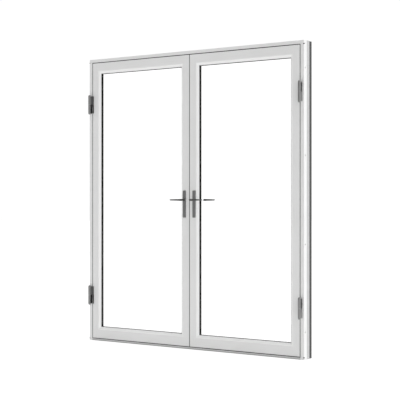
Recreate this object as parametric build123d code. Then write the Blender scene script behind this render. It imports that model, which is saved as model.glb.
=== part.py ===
from build123d import *
import math
import os

os.makedirs("parts", exist_ok=True)

# Side-hung double door in its frame, painted timber inside and aluminium cladding outside.
# X runs to the right as seen from the room, Y outwards and Z up, in millimetres.
# The origin is on the underside of the frame, at mid width and mid depth.

# Frame
frame_width = 1980.0
frame_height = 2080.0
timber_depth = 31.0
core_depth = 30.0
cladding_depth = 25.0
jamb_face = 29.0
head_face = 23.5
arris_chamfer = 1.0
core_setback = 1.0
cladding_side_setback = 1.5
cladding_end_setback = 4.5
cladding_width = 45.0
cladding_wall = 1.8
cladding_chamfer = 6.0
notch_width = 3.0
notch_depth = 9.0
notch_height = 7.0
fixing_radius = 5.0
fixing_head_radius = 9.0
fixing_head_depth = 6.0
fixing_end_distance = 180.0
fixing_inner_distance = 750.0

# Threshold
threshold_face = 14.0
threshold_wall = 2.0
upstand_height = 38.0
upstand_chamfer = 7.0
groove_rise = 4.0
groove_height = 2.2
groove_depth = 2.0

# Frame gaskets
gasket_inset = 37.0
gasket_foot = 26.0
gasket_width = 6.0
gasket_clearance = 0.3
gap_gasket_setback = 0.2
gap_gasket_depth = 6.0
gap_gasket_clearance = 0.35
gap_gasket_ease = 0.3

# Leaves
leaf_gap = 5.0
meeting_gap = 5.2
leaf_proud = 1.0
leaf_timber_depth = 41.0
stop_gap = 4.0
member_width = 58.0
bottom_rail_extra = 5.0
leaf_cladding_setback = 4.0
leaf_cladding_lip = 1.5
sight_line = 80.0
outer_sight_line = 71.0
bead_flat = 4.0
bead_depth = 13.0
bead_bulge = 1.0

# Glazing
glass_inset = 62.0
pane_thickness = 4.0
inner_gasket_thickness = 2.5
cavity_width = 12.0
spacer_width = 10.0
glass_edge_reach = 0.8
glazing_gasket_width = 10.0
setting_block_length = 100.0
setting_block_end_distance = 85.0

# Meeting seal
seal_depth = 6.0
seal_front_distance = 0.4
seal_reach = 4.4
seal_root = 4.0

# Hinges
hinge_end_distance = 335.0
hinge_axis_inset = 21.0
hinge_axis_forward = 22.0
barrel_radius = 9.5
barrel_length = 126.0
barrel_tip_length = 8.5
barrel_tip_radius = 6.0
knuckle_gap = 1.5
hinge_pin_radius = 5.0
hinge_pin_clearance = 0.06
hinge_pin_length = 110.0
pin_end_clearance = 1.0
thrust_collar_radius = 8.6
thrust_collar_clearance = 0.05
wing_thickness = 4.0
jamb_wing_inset = 12.0
jamb_wing_width = 13.0
leaf_wing_inset = 1.0
leaf_wing_width = 10.0
web_thickness = 11.0

# Handles
handle_centre_x = 45.0
handle_height = 1040.0
plate_width = 23.0
plate_above = 65.0
plate_below = 123.0
plate_thickness = 8.0
plate_corner_radius = 4.0
plate_edge_radius = 2.0
boss_radius = 10.5
boss_height = 3.0
neck_radius = 7.0
neck_clearance = 0.08
neck_nose_radius = 3.0
lever_reach = 100.0
lever_standoff = 46.0
grip_root_height = 13.5
grip_root_depth = 11.0
grip_tip_height = 8.5
grip_tip_depth = 8.0
grip_nose_length = 5.0
grip_nose_share = 0.5
spindle_side = 7.0
spindle_clearance = 0.05
spindle_pocket = 26.0
spindle_hole_radius = 6.0

# Rack and pinion bolt gear
gear_module = 1.0
pinion_teeth = 14
pressure_angle = 20.0
tooth_backlash = 0.16
rack_addendum_share = 0.8
root_depth_share = 1.25
flank_steps = 4
pinion_width = 8.0
pinion_hub_radius = 6.5
pinion_hub_clearance = 0.08
handle_swing = 90.0
rod_back_thickness = 3.2
rod_width = 8.0
rod_clearance = 0.5
rod_rest_setback = 1.0
rod_tip_chamfer = 1.2
gear_plane_depth = 22.0
case_thickness = 15.0
case_wall = 1.4
case_height = 76.0
case_end_cover = 2.0
mortise_clearance = 0.3
forend_thickness = 3.0
forend_width = 16.0
forend_length = 240.0
keep_thickness = 2.0
keep_length = 30.0
keep_width = 18.0
keep_pocket_depth = 12.0

overrun = 5.0

# Places that follow from the sizes
half_width = frame_width / 2
frame_depth = timber_depth + core_depth + cladding_depth
frame_front = -frame_depth / 2
core_front = frame_front + timber_depth
stop_face = core_front + core_depth
frame_back = stop_face + cladding_depth
jamb_inner_x = half_width - jamb_face
head_underside = frame_height - head_face

leaf_front = frame_front - leaf_proud
leaf_timber_back = leaf_front + leaf_timber_depth
leaf_back = stop_face - stop_gap
leaf_middle = (leaf_front + leaf_back) / 2
leaf_hinge_x = -(jamb_inner_x - leaf_gap)
leaf_meeting_x = -meeting_gap / 2
leaf_bottom = threshold_face + leaf_gap
leaf_top = head_underside - leaf_gap
leaf_width = leaf_meeting_x - leaf_hinge_x
leaf_height = leaf_top - leaf_bottom
glazed_bottom = leaf_bottom + bottom_rail_extra
glazed_height = leaf_top - glazed_bottom
glazed_centre = Pos((leaf_hinge_x + leaf_meeting_x) / 2, 0, (glazed_bottom + leaf_top) / 2)

bead_back = leaf_front + bead_depth
inner_pane_front = bead_back + inner_gasket_thickness
cavity_front = inner_pane_front + pane_thickness
cavity_back = cavity_front + cavity_width
outer_pane_back = cavity_back + pane_thickness

hinge_x = -(half_width - hinge_axis_inset)
hinge_y = frame_front - hinge_axis_forward
hinge_heights = {"lower": hinge_end_distance, "upper": frame_height - hinge_end_distance}

handle_x = -handle_centre_x
gear_y = leaf_front + gear_plane_depth
pitch_radius = gear_module * pinion_teeth / 2
tip_radius = pitch_radius + gear_module
root_depth = gear_module * root_depth_share
rod_inner = pitch_radius + root_depth
rod_outer = rod_inner + rod_back_thickness
tooth_pitch = math.pi * gear_module
bolt_travel = pitch_radius * math.radians(handle_swing)
on_base = (Align.CENTER, Align.CENTER, Align.MIN)


def block(x_span, y_span, z_span):
    """A box between two values along each axis, given in either order."""
    spans = [sorted(span) for span in (x_span, y_span, z_span)]
    sizes = [high - low for low, high in spans]
    middle = [(low + high) / 2 for low, high in spans]
    return Pos(*middle) * Box(*sizes)


def around(value, width):
    """The span of a width centred on a value."""
    return (value - width / 2, value + width / 2)


def section(*points):
    """A closed outline, with its first axis inwards from an outer edge and its second as depth."""
    return Polygon(*points, align=None)


def hollow(outline, wall):
    """An extruded tube's section: the outline less its chamber."""
    return outline - offset(outline, amount=-wall, kind=Kind.INTERSECTION)


def upright_prism(*points):
    """A prism through the whole depth, from an outline in width and height."""
    return extrude(Plane.XZ * Polygon(*points, align=None), amount=frame_depth, both=True)


def mitred_bars(shape, width, height, square_feet=False):
    """Four bars of one section round an upright rectangle about the origin, mitred at its corners."""
    reach = shape.bounding_box().max.X
    half, rise = width / 2, height / 2
    foot = -rise if square_feet else reach - rise
    inner_half, inner_rise = half - reach, rise - reach
    corner, inner_corner = (-half, -rise), (-inner_half, -inner_rise)
    side_room = upright_prism(corner, (-inner_half, foot), (-inner_half, inner_rise), (-half, rise))
    foot_room = upright_prism(corner, (half, -rise), (inner_half, -inner_rise), inner_corner)
    left = Pos(-half, 0, -rise) * extrude(shape, amount=height) & side_room
    foot_bar = Pos(half, 0, -rise) * Rot(0, -90, 0) * extrude(shape, amount=width) & foot_room
    right, head_bar = mirror(left, Plane.YZ), mirror(foot_bar, Plane.XY)
    return {"left": left, "right": right, "bottom": foot_bar, "top": head_bar}


def group(*solids):
    """Like pieces kept apart as solids of one node."""
    return Compound(children=[solid for piece in solids for solid in piece.solids()])


def on_leaf(bars):
    """Bars made about the origin, moved to the left leaf's glazed part."""
    return group(*[glazed_centre * bar for bar in bars.values()])


def leaf_ring(outer_inset, inner_inset, front, back):
    """A flat ring on the left leaf's glazed part, between two distances in from that part's edge."""
    def slab(inset):
        return glazed_centre * Pos(0, (front + back) / 2, 0) * Box(
            leaf_width - 2 * inset, back - front, glazed_height - 2 * inset
        )
    return slab(outer_inset) - slab(inner_inset)


def rod_span(side):
    """Where a rod lies in width: side -1 is towards the glass and side 1 towards the meeting edge."""
    return (handle_x + side * rod_inner, handle_x + side * rod_outer)


def rod_middle(side):
    """A rod's middle in width."""
    return sum(rod_span(side)) / 2


def rod_way(place, low, high):
    """Room for a rod to slide in, about its middle in width and between two heights."""
    return block(
        around(place, rod_back_thickness + 2 * rod_clearance),
        around(gear_y, rod_width + 2 * rod_clearance),
        (low, high),
    )


# Frame


def frame_section(face):
    """A frame member's timber section of a given face width, with eased front arrises."""
    return section(
        (arris_chamfer, frame_front),
        (face - arris_chamfer, frame_front),
        (face, frame_front + arris_chamfer),
        (face, core_front),
        (0, core_front),
        (0, frame_front + arris_chamfer),
    )


def jamb():
    """Left timber jamb, with fixing holes and two small notches in its outer arris."""
    body = Pos(-half_width, 0, 0) * extrude(frame_section(jamb_face), amount=frame_height)
    for level in (head_underside, threshold_face):
        body -= block(
            (-half_width - overrun, notch_width - half_width),
            (frame_front + arris_chamfer, frame_front + notch_depth),
            around(level, notch_height),
        )
    middle = (frame_front + core_front) / 2
    for distance in (fixing_end_distance, fixing_inner_distance):
        for level in (distance, frame_height - distance):
            hole = Pos(jamb_face / 2 - half_width, middle, level) * Rot(0, 90, 0)
            head_room = Cylinder(fixing_head_radius, fixing_head_depth + overrun, align=on_base)
            head_room = Pos(0, 0, jamb_face / 2 - fixing_head_depth) * head_room
            body -= hole * (Cylinder(fixing_radius, jamb_face + overrun) + head_room)
    return body


def head():
    """Timber head between the jambs, with a pocket above each keep."""
    bar = extrude(frame_section(head_face), amount=2 * jamb_inner_x)
    bar = Pos(-jamb_inner_x, 0, frame_height) * Rot(0, 90, 0) * bar
    for place in (rod_middle(1), -rod_middle(1)):
        plate_top = head_underside + keep_thickness
        bar -= block(around(place, keep_length), around(gear_y, keep_width), (head_underside, plate_top))
        bar -= rod_way(place, head_underside, head_underside + keep_pocket_depth)
    return bar


def threshold():
    """Low hollow threshold with an upstand behind the leaves and a shadow line along its front."""
    rear_x = half_width - cladding_side_setback - cladding_width
    tread = block((-jamb_inner_x, jamb_inner_x), (frame_front, stop_face), (0, threshold_face))
    tread -= block(
        (-jamb_inner_x, jamb_inner_x),
        (frame_front, frame_front + groove_depth),
        around(groove_rise, groove_height),
    )
    chamber_back = stop_face - threshold_wall
    rib = (frame_front + chamber_back) / 2
    chambers = (
        (frame_front + groove_depth + threshold_wall, rib - threshold_wall / 2),
        (rib + threshold_wall / 2, chamber_back),
    )
    for span in chambers:
        tread -= block((-half_width, half_width), span, (threshold_wall, threshold_face - threshold_wall))
    upstand = Polygon(
        (stop_face, 0),
        (frame_back, 0),
        (frame_back, upstand_height - upstand_chamfer),
        (frame_back - upstand_chamfer, upstand_height),
        (stop_face, upstand_height),
        align=None,
    )
    rear = extrude(Plane.YZ * hollow(upstand, threshold_wall), amount=rear_x, both=True)
    body = tread + rear
    for place in (rod_middle(-1), -rod_middle(-1)):
        body -= block(
            around(place, keep_length),
            around(gear_y, keep_width),
            (threshold_face - threshold_wall, threshold_face),
        )
    return body


def keep(place, underside):
    """Flush plate with the slot that a bolt enters."""
    upper_face = underside + keep_thickness
    plate = block(around(place, keep_length), around(gear_y, keep_width), (underside, upper_face))
    return plate - rod_way(place, underside - overrun, upper_face + overrun)


def frame_cladding():
    """Hollow aluminium cladding on the outside of the frame, which also forms the leaves' stop."""
    outline = section(
        (0, stop_face),
        (cladding_width, stop_face),
        (cladding_width, frame_back - cladding_chamfer),
        (cladding_width - cladding_chamfer, frame_back),
        (0, frame_back),
    )
    width = frame_width - 2 * cladding_side_setback
    height = frame_height - 2 * cladding_end_setback
    bars = mitred_bars(hollow(outline, cladding_wall), width, height, square_feet=True)
    return {side: Pos(0, 0, frame_height / 2) * bars[side] for side in ("left", "right", "top")}


def frame_gaskets():
    """Sealing strips all round the leaves: rounded ones on the stop, and eased ones in the gap at the front."""
    lip = leaf_back + gasket_clearance
    curve = ThreePointArc((0, stop_face), (gasket_width / 2, lip), (gasket_width, stop_face))
    outline = make_face(curve + Line((gasket_width, stop_face), (0, stop_face)))
    top = frame_height - gasket_inset
    stop_bars = mitred_bars(outline, frame_width - 2 * gasket_inset, top - gasket_foot)
    strips = [Pos(0, 0, (top + gasket_foot) / 2) * bar for bar in stop_bars.values()]
    front = frame_front + gap_gasket_setback
    reach = leaf_gap - gap_gasket_clearance
    outline = section(
        (0, front),
        (reach - gap_gasket_ease, front),
        (reach, front + gap_gasket_ease),
        (reach, front + gap_gasket_depth),
        (0, front + gap_gasket_depth),
    )
    gap_bars = mitred_bars(outline, 2 * jamb_inner_x, head_underside - threshold_face)
    strips += [Pos(0, 0, (head_underside + threshold_face) / 2) * bar for bar in gap_bars.values()]
    return group(*strips)


# Hinges


def hinge_barrel(level, upwards):
    """Half of a barrel with a tapered tip, reaching up or down from the hinge's middle."""
    length = (barrel_length - knuckle_gap) / 2
    tip = Pos(0, 0, length) * Cone(barrel_radius, barrel_tip_radius, barrel_tip_length, align=on_base)
    half = Pos(0, 0, knuckle_gap / 2) * (Cylinder(barrel_radius, length, align=on_base) + tip)
    bore_radius = hinge_pin_radius + (hinge_pin_clearance if upwards else 0)
    half -= Cylinder(bore_radius, hinge_pin_length / 2 + pin_end_clearance, align=on_base)
    return Pos(hinge_x, hinge_y, level) * (half if upwards else mirror(half, Plane.XY))


def hinge_frame_half(level):
    """Lower knuckle, with a wing on the jamb's face."""
    low = level - barrel_length / 2
    knuckle_top = level - knuckle_gap / 2
    wing_left = jamb_wing_inset - half_width
    wing = block(
        (wing_left, wing_left + jamb_wing_width),
        (frame_front, frame_front - wing_thickness),
        around(level, barrel_length),
    )
    web = block(
        around(hinge_x, web_thickness), (hinge_y, frame_front - wing_thickness / 2), (low, knuckle_top)
    )
    bore = Pos(hinge_x, hinge_y, level) * Cylinder(hinge_pin_radius, hinge_pin_length + 2 * pin_end_clearance)
    return hinge_barrel(level, False) + wing + (web - bore)


def hinge_leaf_half(level):
    """Upper knuckle, with a wing on the leaf's face and a web that widens towards it."""
    wing_left = leaf_hinge_x + leaf_wing_inset
    wing_right = wing_left + leaf_wing_width
    wing_front = leaf_front - wing_thickness
    wing = block((wing_left, wing_right), (leaf_front, wing_front), around(level, barrel_length))
    knuckle_foot = level + knuckle_gap / 2
    outline = Polygon(
        (hinge_x, hinge_y - web_thickness / 2),
        (wing_right, wing_front),
        (wing_right, leaf_front),
        (wing_left, leaf_front),
        (hinge_x, hinge_y + web_thickness / 2),
        align=None,
    )
    web = Pos(0, 0, knuckle_foot) * extrude(outline, amount=level + barrel_length / 2 - knuckle_foot)
    bore = Pos(hinge_x, hinge_y, level) * Cylinder(
        hinge_pin_radius + hinge_pin_clearance, hinge_pin_length + 2 * pin_end_clearance
    )
    return hinge_barrel(level, True) + wing + (web - bore)


def hinge_pin(level):
    """Pin with the collar that carries the upper knuckle."""
    collar_height = knuckle_gap - 2 * thrust_collar_clearance
    shape = Cylinder(hinge_pin_radius, hinge_pin_length) + Cylinder(thrust_collar_radius, collar_height)
    return Pos(hinge_x, hinge_y, level) * shape


# Leaf


def member_section(width):
    """A leaf member's timber section, with its outer front arris eased."""
    return section(
        (arris_chamfer, leaf_front),
        (width, leaf_front),
        (width, leaf_timber_back),
        (0, leaf_timber_back),
        (0, leaf_front + arris_chamfer),
    )


def hinge_stile():
    """Timber stile on the hinge side, full height."""
    return Pos(leaf_hinge_x, 0, leaf_bottom) * extrude(member_section(member_width), amount=leaf_height)


def case_spans():
    """The lock case's outer spans in width, depth and height."""
    inner = handle_x - rod_outer - rod_clearance - case_wall
    outer = leaf_meeting_x - forend_thickness
    return (inner, outer), around(gear_y, case_thickness), around(handle_height, case_height)


def forend_slab(outer):
    """The forend's space in the meeting edge, out to a given place in width."""
    inner = leaf_meeting_x - forend_thickness
    return block((inner, outer), around(gear_y, forend_width), around(handle_height, forend_length))


def spindle_hole():
    """Clear hole for the spindle, through the whole leaf."""
    hole = Rot(90, 0, 0) * Cylinder(spindle_hole_radius, frame_depth)
    return Pos(handle_x, leaf_middle, handle_height) * hole


def meeting_stile():
    """Timber stile on the meeting side, morticed for the lock case, its rods and the spindle."""
    bar = mirror(extrude(member_section(member_width), amount=leaf_height), Plane.YZ)
    body = Pos(leaf_meeting_x, 0, leaf_bottom) * bar
    wide, deep, tall = case_spans()
    body -= block(
        (wide[0] - mortise_clearance, overrun),
        (deep[0] - mortise_clearance, deep[1] + mortise_clearance),
        (tall[0] - mortise_clearance, tall[1] + mortise_clearance),
    )
    body -= forend_slab(overrun)
    for side, end in ((1, leaf_top + overrun), (-1, leaf_bottom - overrun)):
        body -= rod_way(rod_middle(side), handle_height, end)
    return body - spindle_hole()


def rail(upper):
    """Timber rail between the stiles, the lower one taller."""
    height = member_width if upper else member_width + bottom_rail_extra
    bar = extrude(member_section(height), amount=leaf_width - 2 * member_width)
    bar = Pos(leaf_meeting_x - member_width, 0, leaf_bottom) * Rot(0, -90, 0) * bar
    if upper:
        bar = mirror(bar, Plane.XY.offset((leaf_bottom + leaf_top) / 2))
    return bar


def leaf_cladding():
    """Hollow aluminium cladding outside the leaf, splayed back from the outer sight line."""
    width = outer_sight_line - leaf_cladding_setback
    lip_back = leaf_timber_back + leaf_cladding_lip
    outline = section(
        (0, leaf_timber_back),
        (width, leaf_timber_back),
        (width, lip_back),
        (width - (leaf_back - lip_back), leaf_back),
        (0, leaf_back),
    )
    bars_width = leaf_width - 2 * leaf_cladding_setback
    bars_height = glazed_height - 2 * leaf_cladding_setback
    bars = mitred_bars(hollow(outline, cladding_wall), bars_width, bars_height)
    return group(*[glazed_centre * bar - spindle_hole() for bar in bars.values()])


def glazing_beads():
    """Timber beads with a rounded splay that hold the glass from the room."""
    width = sight_line - member_width
    start, end = Vector(bead_flat, leaf_front), Vector(width, bead_back)
    chord = end - start
    crown = (start + end) / 2 + Vector(chord.Y, -chord.X).normalized() * bead_bulge
    splay = ThreePointArc(start, crown, end)
    outline = make_face(splay + Polyline(end, (0, bead_back), (0, leaf_front), start))
    return on_leaf(mitred_bars(outline, leaf_width - 2 * member_width, glazed_height - 2 * member_width))


def pane(front):
    """One sheet of glass."""
    return glazed_centre * Pos(0, front + pane_thickness / 2, 0) * Box(
        leaf_width - 2 * glass_inset, pane_thickness, glazed_height - 2 * glass_inset
    )


def glazing_gaskets():
    """Strips each side of the glass, and the blocks that it stands on."""
    rings = [
        leaf_ring(line - glazing_gasket_width, line, front, back)
        for line, front, back in (
            (sight_line + glass_edge_reach, bead_back, inner_pane_front),
            (outer_sight_line, outer_pane_back, leaf_timber_back),
        )
    ]
    blocks = []
    for edge, way in ((leaf_hinge_x, 1), (leaf_meeting_x, -1)):
        start = edge + way * (glass_inset + setting_block_end_distance)
        blocks.append(
            block(
                (start, start + way * setting_block_length),
                (inner_pane_front, outer_pane_back),
                (glazed_bottom + member_width, glazed_bottom + glass_inset),
            )
        )
    return group(*rings, *blocks)


def meeting_seal():
    """Soft strip in the right leaf's meeting edge, held by a root in the timber."""
    edge = -leaf_meeting_x
    front = leaf_front + seal_front_distance
    return block((edge - seal_reach, edge), (front, front + seal_depth), (leaf_bottom, leaf_top)) + block(
        (edge, edge + seal_root), around(front + seal_depth / 2, seal_depth / 2), (leaf_bottom, leaf_top)
    )


def seal_groove():
    """Room for the seal's root in the right leaf's meeting stile."""
    edge = -leaf_meeting_x
    middle = leaf_front + seal_front_distance + seal_depth / 2
    return block((edge, edge + seal_root), around(middle, seal_depth / 2), (leaf_bottom, leaf_top))


# Handle and bolt gear


def handle_plate():
    """Narrow plate with softened corners and a boss that carries the lever's neck."""
    middle = handle_height + (plate_above - plate_below) / 2
    outline = Plane.XZ * Pos(handle_x, middle) * RectangleRounded(
        plate_width, plate_above + plate_below, plate_corner_radius
    )
    body = Pos(0, leaf_front, 0) * extrude(outline, amount=plate_thickness)
    front_edges = body.faces().sort_by(Axis.Y)[0].edges()
    body = fillet(front_edges, plate_edge_radius)
    spot = Plane.XZ * Pos(handle_x, handle_height)
    boss = Pos(0, leaf_front, 0) * extrude(spot * Circle(boss_radius), amount=plate_thickness + boss_height)
    bore = extrude(spot * Circle(neck_radius + neck_clearance), amount=frame_depth, both=True)
    return body + boss - bore


def lever():
    """Round neck that turns in the plate, with a grip that thins towards its tip."""
    spot = Plane.XZ * Pos(handle_x, handle_height)
    grip_y = leaf_front - lever_standoff
    neck_length = lever_standoff + grip_root_depth / 2
    neck = Pos(0, leaf_front, 0) * extrude(spot * Circle(neck_radius), amount=neck_length)
    neck = fillet(neck.faces().sort_by(Axis.Y)[0].edges(), neck_nose_radius)

    def grip_section(distance, depth, height):
        outline = Plane.YZ * Pos(grip_y, handle_height) * Ellipse(depth / 2, height / 2)
        return Pos(handle_x - distance, 0, 0) * outline

    tip_distance = lever_reach - grip_nose_length
    root = grip_section(0, grip_root_depth, grip_root_height)
    tip = grip_section(tip_distance, grip_tip_depth, grip_tip_height)
    nose = grip_section(lever_reach, grip_tip_depth * grip_nose_share, grip_tip_height * grip_nose_share)
    grip = loft([root, tip]) + loft([tip, nose])
    side = spindle_side + 2 * spindle_clearance
    pocket = Pos(0, leaf_front, 0) * extrude(spot * Rectangle(side, side), amount=spindle_pocket)
    return neck + grip - pocket


def spindle():
    """Square bar that joins the two levers and turns the pinion."""
    length = leaf_back - leaf_front + 2 * (spindle_pocket - spindle_clearance)
    return Pos(handle_x, leaf_middle, handle_height) * Box(spindle_side, length, spindle_side)


def flank_point(angle, radius):
    """A point of the pinion's outline, seen along its axis."""
    return (radius * math.cos(angle), radius * math.sin(angle))


def pinion_outline():
    """Involute teeth, one of them pointing along the first axis."""
    base_radius = pitch_radius * math.cos(math.radians(pressure_angle))

    def involute(radius):
        roll = math.acos(min(base_radius / radius, 1))
        return math.tan(roll) - roll

    half_tooth = (tooth_pitch / 2 - tooth_backlash) / (2 * pitch_radius)
    radii = [base_radius + (tip_radius - base_radius) * step / flank_steps for step in range(flank_steps + 1)]
    radii.insert(0, pitch_radius - root_depth)
    points = []
    for tooth in range(pinion_teeth):
        centre = 2 * math.pi * tooth / pinion_teeth
        angles = [half_tooth + involute(pitch_radius) - involute(max(radius, base_radius)) for radius in radii]
        points += [flank_point(centre - angle, radius) for angle, radius in zip(angles, radii)]
        points += [flank_point(centre + angle, radius) for angle, radius in reversed(list(zip(angles, radii)))]
    return Polygon(*points, align=None)


def pinion():
    """Pinion on the spindle, with a hub that turns in both walls of the case."""
    side = spindle_side + 2 * spindle_clearance
    spot = Plane.XZ * Pos(handle_x, handle_height)
    wheel = extrude(spot * pinion_outline(), amount=pinion_width / 2, both=True)
    hub = extrude(spot * Circle(pinion_hub_radius), amount=case_thickness / 2, both=True)
    hub -= extrude(spot * Circle(tip_radius), amount=pinion_width / 2, both=True)
    square = extrude(spot * Rectangle(side, side), amount=case_thickness, both=True)
    return Pos(0, gear_y, 0) * (wheel + hub - square)


def rod(side):
    """Flat bolt rod with a rack: side 1 goes up on the meeting side, side -1 down on the glass side."""
    tip = leaf_top - rod_rest_setback if side > 0 else leaf_bottom + rod_rest_setback
    rack_end = handle_height - side * (bolt_travel + tooth_pitch)
    bar = block(rod_span(side), around(gear_y, rod_width), (rack_end, tip))
    tip_face = bar.faces().sort_by(Axis.Z)[-1 if side > 0 else 0]
    bar = chamfer(tip_face.edges(), rod_tip_chamfer)
    lean = math.tan(math.radians(pressure_angle))
    addendum = gear_module * rack_addendum_share
    half_pitch_line = (tooth_pitch / 2 - tooth_backlash) / 2
    foot_half = half_pitch_line + root_depth * lean
    top_half = half_pitch_line - addendum * lean
    count = math.floor((bolt_travel + tooth_pitch) / tooth_pitch)
    foot_x, top_x = handle_x + side * rod_inner, handle_x + side * (pitch_radius - addendum)
    for index in range(-1, count):
        level = handle_height - side * (index + 1 / 2) * tooth_pitch
        tooth = Polygon(
            (foot_x, level - foot_half),
            (top_x, level - top_half),
            (top_x, level + top_half),
            (foot_x, level + foot_half),
            align=None,
        )
        bar += Pos(0, gear_y, 0) * extrude(Plane.XZ * tooth, amount=pinion_width / 2, both=True)
    return bar


def lock_case():
    """Case let into the meeting edge, with its forend, hub holes and a way out for each rod."""
    wide, deep, tall = case_spans()
    body = block(wide, deep, tall)
    body -= block(
        (wide[0] + case_wall, wide[1] - case_wall),
        (deep[0] + case_wall, deep[1] - case_wall),
        (tall[0] + case_end_cover, tall[1] - case_end_cover),
    )
    for side, end in ((1, tall[1] + overrun), (-1, tall[0] - overrun)):
        body -= rod_way(rod_middle(side), handle_height, end)
    hub_hole = Pos(handle_x, gear_y, handle_height) * Rot(90, 0, 0) * Cylinder(
        pinion_hub_radius + pinion_hub_clearance, case_thickness + overrun
    )
    return body - hub_hole + forend_slab(leaf_meeting_x)


def leaf_parts():
    """All the pieces of the left leaf, by name."""
    outside = Plane.XZ.offset(-leaf_middle)
    spacer_line = sight_line + glass_edge_reach
    pieces = {
        "hinge_stile": hinge_stile(),
        "meeting_stile": meeting_stile(),
        "top_rail": rail(True),
        "bottom_rail": rail(False),
        "leaf_cladding": leaf_cladding(),
        "glazing_beads": glazing_beads(),
        "inner_pane": pane(inner_pane_front),
        "outer_pane": pane(cavity_back),
        "glass_spacer": leaf_ring(spacer_line - spacer_width, spacer_line, cavity_front, cavity_back),
        "glazing_gaskets": glazing_gaskets(),
        "inside_plate": handle_plate(),
        "outside_plate": mirror(handle_plate(), outside),
        "lock_case": lock_case(),
        "inside_lever": lever(),
        "outside_lever": mirror(lever(), outside),
        "spindle": spindle(),
        "pinion": pinion(),
        "upper_rod": rod(1),
        "lower_rod": rod(-1),
    }
    for place, level in hinge_heights.items():
        pieces[place + "_hinge_leaf_half"] = hinge_leaf_half(level)
    return pieces


def frame_parts():
    """All the pieces of the frame, by name."""
    left_jamb = jamb()
    core_span = (core_front, stop_face)
    core_x = half_width - core_setback
    left_core = block((-core_x, -jamb_inner_x), core_span, (core_setback, frame_height - core_setback))
    cladding = frame_cladding()
    levels = list(hinge_heights.values())
    left_pins = [hinge_pin(level) for level in levels]
    keeps = [keep(place, head_underside) for place in (rod_middle(1), -rod_middle(1))]
    keep_low = threshold_face - keep_thickness
    keeps += [keep(place, keep_low) for place in (rod_middle(-1), -rod_middle(-1))]
    pieces = {
        "frame_head": head(),
        "frame_left_jamb": left_jamb,
        "frame_right_jamb": mirror(left_jamb, Plane.YZ),
        "head_core": block(
            (-jamb_inner_x, jamb_inner_x), core_span, (head_underside, frame_height - core_setback)
        ),
        "left_jamb_core": left_core,
        "right_jamb_core": mirror(left_core, Plane.YZ),
        "head_cladding": cladding["top"],
        "left_jamb_cladding": cladding["left"],
        "right_jamb_cladding": cladding["right"],
        "threshold": threshold(),
        "frame_gaskets": frame_gaskets(),
        "bolt_keeps": group(*keeps),
        "hinge_pins": group(*left_pins, *[mirror(pin, Plane.YZ) for pin in left_pins]),
    }
    for place, level in hinge_heights.items():
        half = hinge_frame_half(level)
        pieces["left_" + place + "_hinge_frame_half"] = half
        pieces["right_" + place + "_hinge_frame_half"] = mirror(half, Plane.YZ)
    return pieces


parts = frame_parts()
for piece_name, piece in leaf_parts().items():
    parts["left_" + piece_name] = piece
    parts["right_" + piece_name] = mirror(piece, Plane.YZ)
parts["right_meeting_stile"] -= seal_groove()
parts["meeting_seal"] = meeting_seal()

for node_name, shape in parts.items():
    export_step(shape, "parts/" + node_name + ".step")
print(len(parts), "nodes, bolt travel", round(bolt_travel, 3))
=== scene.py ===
import logging
import math
from dataclasses import dataclass, field, replace
from enum import Enum, IntEnum
from typing import Any, Callable, Iterable, Mapping

import bmesh
import bpy
from mathutils import Matrix, Vector


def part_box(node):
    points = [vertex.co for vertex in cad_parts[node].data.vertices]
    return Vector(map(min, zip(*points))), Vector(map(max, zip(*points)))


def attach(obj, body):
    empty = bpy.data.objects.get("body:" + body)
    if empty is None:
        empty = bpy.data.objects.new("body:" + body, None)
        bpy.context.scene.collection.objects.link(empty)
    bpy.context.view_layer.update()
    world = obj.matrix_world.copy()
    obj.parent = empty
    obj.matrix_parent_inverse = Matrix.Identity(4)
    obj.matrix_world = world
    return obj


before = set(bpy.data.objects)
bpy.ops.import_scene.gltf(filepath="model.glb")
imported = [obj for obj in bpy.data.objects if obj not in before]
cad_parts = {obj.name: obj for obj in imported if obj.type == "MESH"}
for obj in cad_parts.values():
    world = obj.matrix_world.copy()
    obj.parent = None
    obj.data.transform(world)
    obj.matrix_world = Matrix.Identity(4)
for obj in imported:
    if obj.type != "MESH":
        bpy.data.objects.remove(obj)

LOG = logging.getLogger("double_door")
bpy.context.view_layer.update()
MM_PER_METRE = 1000
SRGB_KNEE, SRGB_SLOPE = 0.04045, 12.92
SRGB_OFFSET, SRGB_GAMMA = 0.055, 2.4
MIXED_COLOUR = 2
ALIGNED = 0.9
QUARTER_TURN = math.pi / 2
HALF_TURN = math.pi


class Run(Enum):
    """The axis that a brush, a roll or a belt ran along, by its place in X, Y and Z."""

    LEVEL = 0
    THROUGH = 1
    UPRIGHT = 2


class Side(Enum):
    """A leaf of the pair, with its sign along X as seen from the room."""

    LEFT = -1
    RIGHT = 1

    @property
    def word(self) -> str:
        """The side's name as the CAD nodes and bodies spell it."""
        return self.name.lower()


class MixInput(IntEnum):
    """Inputs of the Mix node by their place, because several share a name."""

    SHARE = 0
    VALUE_A = 2
    VALUE_B = 3
    COLOUR_A = 6
    COLOUR_B = 7


class Element(Enum):
    """What an edit step selects on a mesh."""

    FACES = "faces"
    EDGES = "edges"


def mm(value: float) -> float:
    """Millimetres as the metres that Blender works in."""
    return value / MM_PER_METRE


def linear(hex_colour: str) -> tuple[float, float, float, float]:
    """Turn an sRGB hex colour to linear values.

    Args:
        hex_colour: A colour such as "#F0F0EE".

    Returns:
        Red, green, blue and an alpha of 1.
    """
    red, green, blue = (
        share / SRGB_SLOPE
        if share <= SRGB_KNEE
        else ((share + SRGB_OFFSET) / (1 + SRGB_OFFSET)) ** SRGB_GAMMA
        for share in (int(hex_colour[i : i + 2], 16) / 255 for i in (1, 3, 5))
    )
    return (red, green, blue, 1.0)


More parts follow.
